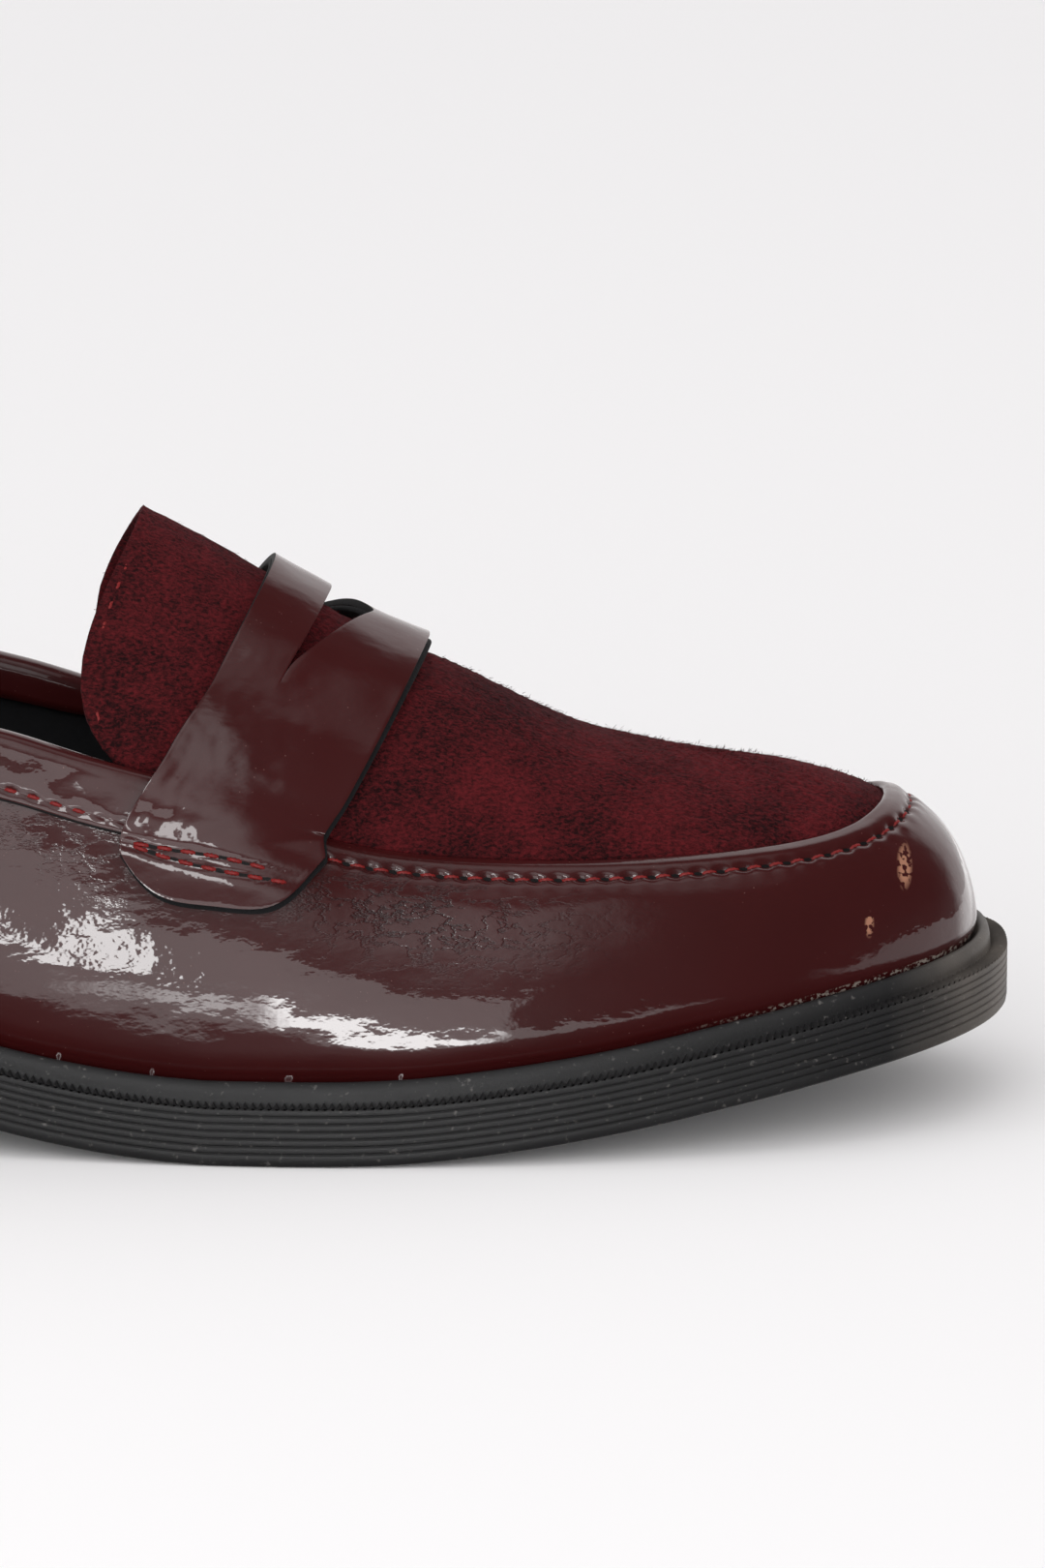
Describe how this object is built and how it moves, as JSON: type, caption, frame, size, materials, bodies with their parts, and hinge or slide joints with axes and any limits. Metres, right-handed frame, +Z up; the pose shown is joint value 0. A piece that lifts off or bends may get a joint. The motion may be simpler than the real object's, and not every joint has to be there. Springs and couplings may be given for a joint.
{
  "type": "penny loafer",
  "caption": "Low slip-on shoe: glossy moulded wall, soft suede-finish apron and tongue, slotted strap over the instep, red seams, ribbed black sole and low heel",
  "frame": {"origin": "on the ground under the middle of the shoe's length and width", "axes": "+X toward the toe, +Y toward the inner (medial) side of this right shoe, +Z up"},
  "size_m": [0.266, 0.092, 0.0992],
  "materials": {
    "patent_leather": "burgundy patent leather, mirror gloss over fine creases",
    "suede": "burgundy suede-finish microfibre with a short brushed nap",
    "black_backing": "black backing cloth with a raw cut edge",
    "black_lining": "black synthetic lining, matt",
    "sole_rubber": "black moulded rubber, satin, with fine horizontal ribs",
    "top_piece_rubber": "black hard rubber, matt",
    "red_thread": "red twisted polyester thread",
    "nail_steel": "bright steel",
    "shank_steel": "blued spring steel",
    "filler_felt": "pressed felt",
    "insole_fibreboard": "cellulose insole board, matt",
    "pad_foam": "soft latex foam",
    "stiffener_plastic": "thermoplastic stiffener sheet"
  },
  "bodies": {
    "root": {"outsole": "sole_rubber", "heel_block": "sole_rubber", "heel_top_piece": "top_piece_rubber", "heel_nails": "nail_steel", "shank": "shank_steel", "forefoot_filler": "filler_felt", "insole_board": "insole_fibreboard", "heel_pad": "pad_foam", "sock_liner": "black_lining", "vamp_wall": "patent_leather", "toe_puff": "stiffener_plastic", "heel_counter": "stiffener_plastic", "vamp_lining": "black_lining", "quarter_lining": "black_lining", "apron_tongue": "suede", "tongue_lining": "black_lining", "back_strip": "patent_leather", "collar_binding": "patent_leather", "strap": "patent_leather", "strap_backing": "black_backing", "apron_stitching": "red_thread", "collar_stitching": "red_thread", "strap_stitching": "red_thread", "tongue_stitching": "red_thread", "back_strip_stitching": "red_thread"}
  },
  "joints": []
}
